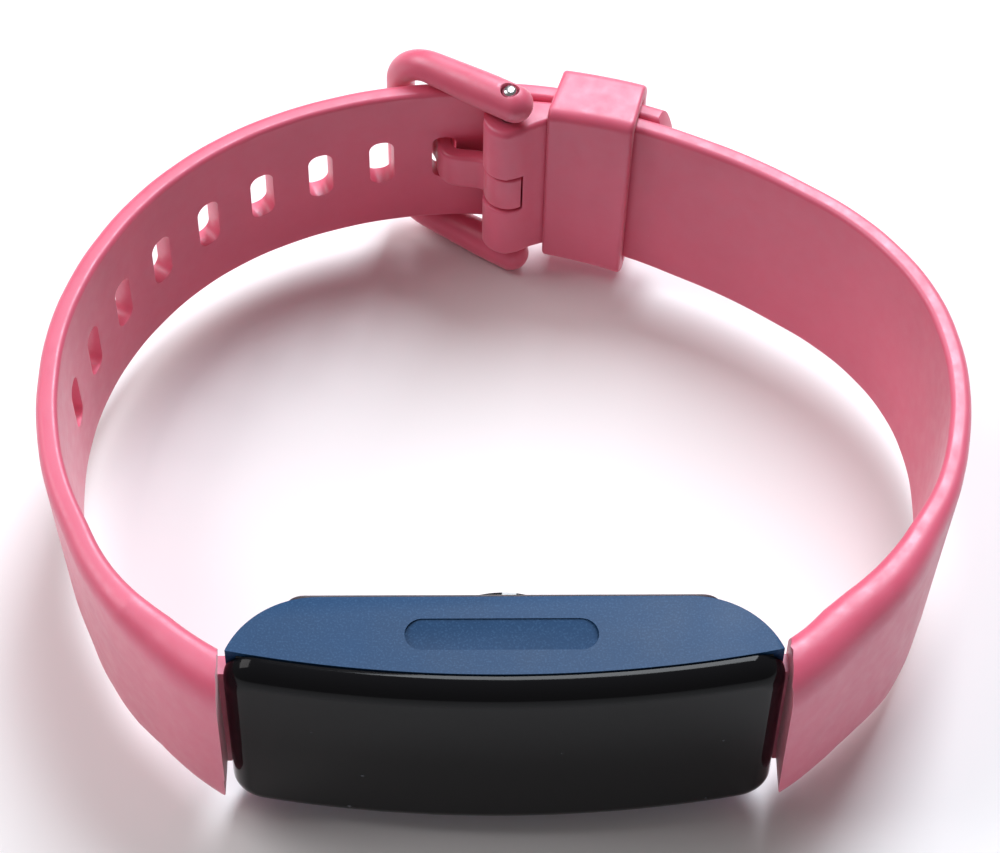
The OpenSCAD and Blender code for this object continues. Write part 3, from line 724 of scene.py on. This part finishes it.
def makeTang():
    size = {"half": 1.65, "thick": 1.2, "edge": 0.3, "hub": 1.82, "hubEnd": 0.95, "hubEdge": 0.2,
            "tailX": (-5.3, -2.75), "tailY": (51.4, 53.1), "tailEdge": 0.35, "bore": 0.64}
    line = [(2.6, 46.6), (1.9, 46.62), (0.95, 46.68), (0.24, 47.1), (-0.2, 47.75), (-0.9, 48.3),
            (-1.8, 48.5), (-2.7, 48.6), (-3.35, 48.85), (-3.7, 49.4), (-3.8, 50.2), (-4.0, 51.1),
            (-4.6, 52.1), (-5.6, 52.9), (-6.7, 53.22), (-7.9, 53.2)]
    path = smoothPath("tangPath", [(x, y, 0) for x, y in line])
    length = path.data.splines[0].calc_length() / mm
    t, h = size["thick"], size["half"]
    tang = loft("buckleTang", [(x, -t / 2, t, h, size["edge"], size["edge"])
                               for x in (0, length)], corner=4, wide=6)
    sliceAlong(tang, 0, length, 0.2)
    bendAlong(tang, path)
    x, y = pivot
    hubEnd = x + size["hubEnd"]
    combine(tang, addBox("trim", hubEnd, x + 6, y - 6, y + 6, -4, 4), "DIFFERENCE")
    hub = addRod("tangHub", x, y, -h, h, size["hub"], 64)
    roundEdges(hub, lambda e: e.calc_face_angle(0) > 1.0, size["hubEdge"], 3)
    combine(hub, addBox("hubKeep", x - 4, hubEnd, y - 4, y + 4, -4, 4), "INTERSECT")
    combine(tang, hub, "UNION")
    # the tail fills the strap's hole from behind
    tail = addBox("tail", *size["tailX"], *size["tailY"], -h, h)
    roundEdges(tail, lambda e: True, size["tailEdge"], 3)
    combine(tang, tail, "UNION")
    combine(tang, addRod("tangBore", x, y, -4, 4, size["bore"]), "DIFFERENCE")
    return tang


print("buckle")
settle(makeBuckleFrame(), "buckle", "buckle_plastic", finishes["buckle_plastic"],
       "buckle_frame", angle=50)
settle(makePin(), "buckle", "steel_parts", finishes["steel_parts"], "buckle_pin")
settle(makeTang(), "tang", "buckle_plastic", finishes["buckle_plastic"], "buckle_tang")


def makeScoop(size, halfWidth):
    front, back = size["scoopFront"], size["scoopBack"]
    left = size["scoopX"] - size["scoopLength"] / 2
    bottom = halfWidth - size["scoopDeep"]
    scoop = addBox("scoop", left, left + size["scoopLength"], front, back, bottom, halfWidth + 2)
    roundEdges(scoop, lambda e: runs(e, 2), (back - front) / 2 * 0.98, 14)
    # the floor rises towards the wrist side: turned up, then drawn back to its length
    rise = math.asin((size["scoopDeep"] - size["scoopLift"]) / (back - front))
    frontEdge = (0, front * mm, bottom * mm)
    editing(scoop)
    pick("VERT", lambda v: v.co.z < halfWidth * mm)
    bpy.ops.transform.rotate(value=-rise, orient_axis="X", center_override=frontEdge)
    bpy.ops.transform.resize(value=(1, 1 / math.cos(rise), 1), center_override=frontEdge)
    bpy.ops.object.mode_set(mode="OBJECT")
    atFloor = lambda e: (middle(e).z < (halfWidth - 0.05) * mm and not runs(e, 2)
                         and e.calc_face_angle(0) > 0.5 and middle(e).y < 1.2 * mm)
    roundEdges(scoop, atFloor, size["scoopRound"], 4)
    return scoop


def makeHousing():
    size = {"corner": 6.3, "edge": 0.75, "seamEdge": 0.12, "frontGap": 0.14, "scoopX": -0.2,
            "scoopLength": 12.6, "scoopFront": 0.2, "scoopBack": 2.6, "scoopDeep": 0.6,
            "scoopLift": 0.08, "scoopRound": 0.3, "tipHole": 0.45}
    halfLength, halfWidth = tracker["length"] / 2, tracker["width"] / 2
    case = addBox("housing", -halfLength, halfLength, -4, tracker["backY"], -halfWidth, halfWidth)
    roundEdges(case, lambda e: runs(e, 2) and middle(e).y > 0, size["corner"], 28)
    front = addRod("front", 0, tracker["seamY"] + tracker["lensRadius"], -12, 12,
                   tracker["lensRadius"] - size["frontGap"], 1440)
    combine(case, front, "INTERSECT")
    outer = lambda e: (e.calc_face_angle(0) > 1.0 and middle(e).y > 0.2 * mm and not runs(e, 2))
    roundEdges(case, outer, size["edge"], 5)
    seam = lambda e: e.calc_face_angle(0) > 0.6 and middle(e).y <= 0.25 * mm
    roundEdges(case, seam, size["seamEdge"], 2)
    for side in (-1, 1):
        scoop = makeScoop(size, halfWidth)
        if side < 0:
            editing(scoop)
            bpy.ops.mesh.select_all(action="SELECT")
            bpy.ops.transform.mirror(constraint_axis=(False, False, True),
                                     center_override=(0, 0, 0))
            bpy.ops.mesh.normals_make_consistent(inside=False)
            bpy.ops.object.mode_set(mode="OBJECT")
        combine(case, scoop, "DIFFERENCE")
    combine(case, addBox("cavity", -13.2, 13.2, -6, 8, -6.9, 6.9), "DIFFERENCE")
    combine(case, addBox("seat", -14.6, 14.6, 3.2, 6, -7.3, 7.3), "DIFFERENCE")
    for side in (-1, 1):  # a notch for the strap's neck, and holes for the spring bar's tips
        neckX = sorted((side * 13.65, side * 20))
        combine(case, addBox("notch", *neckX, -0.12, 6, -6.4, 6.4), "DIFFERENCE")
        tipHole = addRod("tipHole", side * strapEnd["tabX"], strapEnd["tabY"], -7.3, 7.3,
                         size["tipHole"], 24)
        combine(case, tipHole, "DIFFERENCE")
    return case


def makeLens():
    size = {"endGap": 0.12, "sideGap": 0.05, "corner": 2.3, "roll": 1.5, "slice": 0.4}
    halfLength = tracker["length"] / 2 - size["endGap"]
    halfWidth = tracker["width"] / 2 - size["sideGap"]
    run = math.degrees(2 * halfLength / tracker["lensRadius"])
    total = math.radians(run) * tracker["lensRadius"]
    lens = addBox("lens", 0, total, 0, tracker["bulge"], -halfWidth, halfWidth)
    roundEdges(lens, lambda e: runs(e, 1), size["corner"], 12)
    atFace = lambda e: middle(e).y > (tracker["bulge"] - 0.01) * mm
    roundEdges(lens, atFace, size["roll"], 14)
    sliceAlong(lens, 0, total, size["slice"])
    centre = (0, tracker["seamY"] + tracker["lensRadius"])
    bendAlong(lens, pathFrom([(centre, tracker["lensRadius"], 270 + run / 2, 270 - run / 2)]))
    return lens


def makeCover():
    size = {"half": 14.55, "front": 3.25, "back": 6.3, "halfWidth": 7.25, "longEdge": 2.6,
            "corner": 2.9}
    half = size["half"]
    cover = addBox("backCover", -half, half, size["front"], size["back"], -size["halfWidth"],
                   size["halfWidth"])
    roundEdges(cover, lambda e: runs(e, 0) and middle(e).y > 4 * mm, size["longEdge"], 14)
    outline = addBox("outline", -half, half, 0, size["back"], -9, 9)
    roundEdges(outline, lambda e: runs(e, 2) and middle(e).y > 4 * mm, size["corner"], 16)
    combine(cover, outline, "INTERSECT")
    combine(cover, addBox("pocket", -9, 9, 2, 4.8, -5, 5), "DIFFERENCE")
    return cover


print("tracker")
settle(makeHousing(), "band", "case_coat", finishes["case_coat"], "housing", angle=30)
settle(makeLens(), "band", "lens_black", finishes["lens_black"], "lens", angle=30)
settle(makeCover(), "band", "cover_black", finishes["cover_black"], "back_cover", angle=30)

for entry in frame["record"]["subparts"]:
    node = frame["nodes"][entry["node"]]
    node.data.materials.clear()
    node.data.materials.append(finishes[entry["material_slot"]])
print("CAD pieces finished")


# the camera's place is in plan millimetres, its turns in degrees
studio = {"camera": (-3.96, -104.02, 174.75), "pitch": 53.73, "yaw": 1.81, "roll": 1.32,
          "lens": 109.34, "sensor": 36, "floor": (0.90, 0.90, 0.91), "floorSize": 3,
          "world": (1.0, 0.95, 0.93), "worldPower": 0.2}

pitch, yaw, roll = (math.radians(studio[k]) for k in ("pitch", "yaw", "roll"))
onward = Vector((math.sin(yaw) * math.cos(pitch), math.cos(yaw) * math.cos(pitch),
                 -math.sin(pitch)))
right = Vector((math.cos(yaw), -math.sin(yaw), 0))
up = right.cross(onward)
right, up = (math.cos(roll) * right + math.sin(roll) * up,
             -math.sin(roll) * right + math.cos(roll) * up)
cameraData = bpy.data.cameras.new("camera")
cameraData.lens, cameraData.sensor_width = studio["lens"], studio["sensor"]
cameraData.clip_start = 0.01
camera = bpy.data.objects.new("camera", cameraData)
bpy.context.scene.collection.objects.link(camera)
camera.matrix_world = Matrix.Translation(planZero + Vector(studio["camera"]) * mm) @ Matrix(
    (right, up, -onward)).transposed().to_4x4()
bpy.context.scene.camera = camera

deselectAll()
bpy.ops.mesh.primitive_plane_add(size=studio["floorSize"], location=(0, 0, 0))
floor = bpy.context.active_object
floor.name = "floor"
floor.data.materials.append(plainGrain("floorPaper", studio["floor"], 0.8, shade=0.01, grain=900,
                                       coarse=6, bump=0.02))


def addSoftbox(name, place, aim, size, power, colour):
    data = bpy.data.lights.new(name, "AREA")
    data.shape, data.size, data.size_y = "RECTANGLE", size[0], size[1]
    data.energy, data.color = power, colour
    lamp = bpy.data.objects.new(name, data)
    bpy.context.scene.collection.objects.link(lamp)
    lamp.location = place
    lamp.rotation_euler = (Vector(aim) - Vector(place)).to_track_quat("-Z", "Y").to_euler()


addSoftbox("window", (0.16, 0.46, 0.62), (0, 0, 0.01), (0.28, 0.60), 7.5, (0.90, 0.95, 1.0))
addSoftbox("ceiling", (-0.50, 0.15, 0.55), (0, 0, 0), (0.5, 0.4), 3.0, (1.0, 0.97, 0.97))

world = bpy.data.worlds.new("studio")
bpy.context.scene.world = world
world.use_nodes = True
sky = world.node_tree.nodes["Background"]
sky.inputs["Color"].default_value = (*studio["world"], 1)
sky.inputs["Strength"].default_value = studio["worldPower"]
bpy.context.scene.view_settings.view_transform = "Standard"

print("ready")
